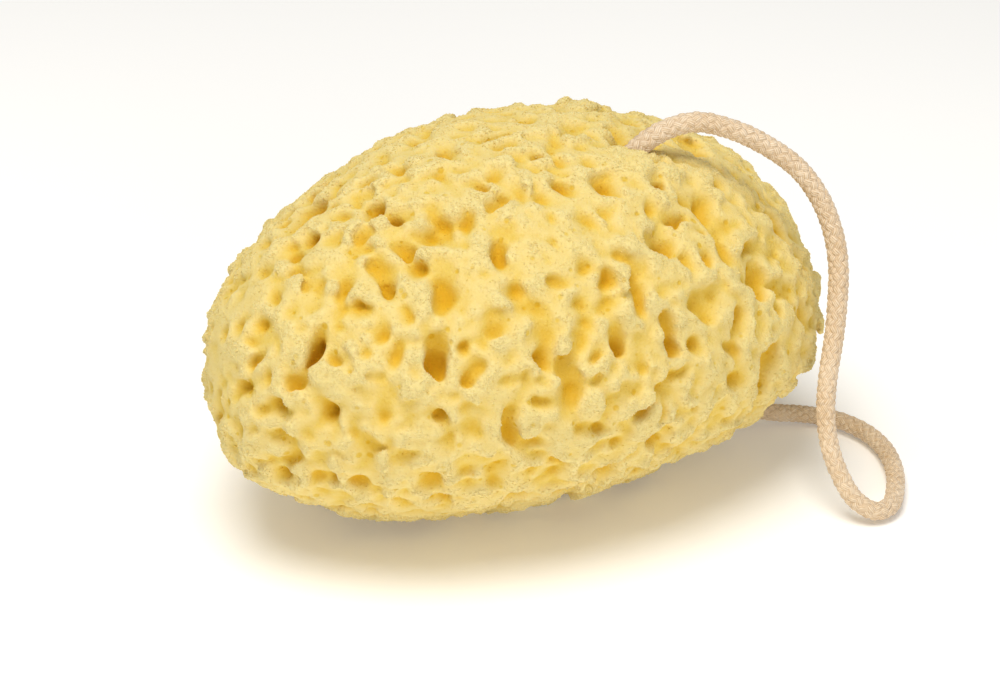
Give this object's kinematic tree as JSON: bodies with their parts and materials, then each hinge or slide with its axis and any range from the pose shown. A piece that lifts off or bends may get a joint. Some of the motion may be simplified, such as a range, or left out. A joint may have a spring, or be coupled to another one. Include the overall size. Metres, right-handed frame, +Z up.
{
  "type": "bath sponge",
  "caption": "Oval porous bath sponge with a flat resting side and a braided cotton hanging loop threaded through it.",
  "frame": {"origin": "middle of the sponge's box at the flat underside, on the surface it rests on", "axes": "+X along the sponge's longest side, towards the end where the cord hangs; +Y away from the cord's side; +Z up"},
  "size_m": [0.1481, 0.118, 0.0827],
  "materials": {
    "foam": "open porous sponge, dry, matte",
    "cotton": "undyed braided cotton, matte, slightly fuzzy"
  },
  "bodies": {
    "root": {"sponge": "foam", "cord": "cotton"}
  },
  "joints": []
}
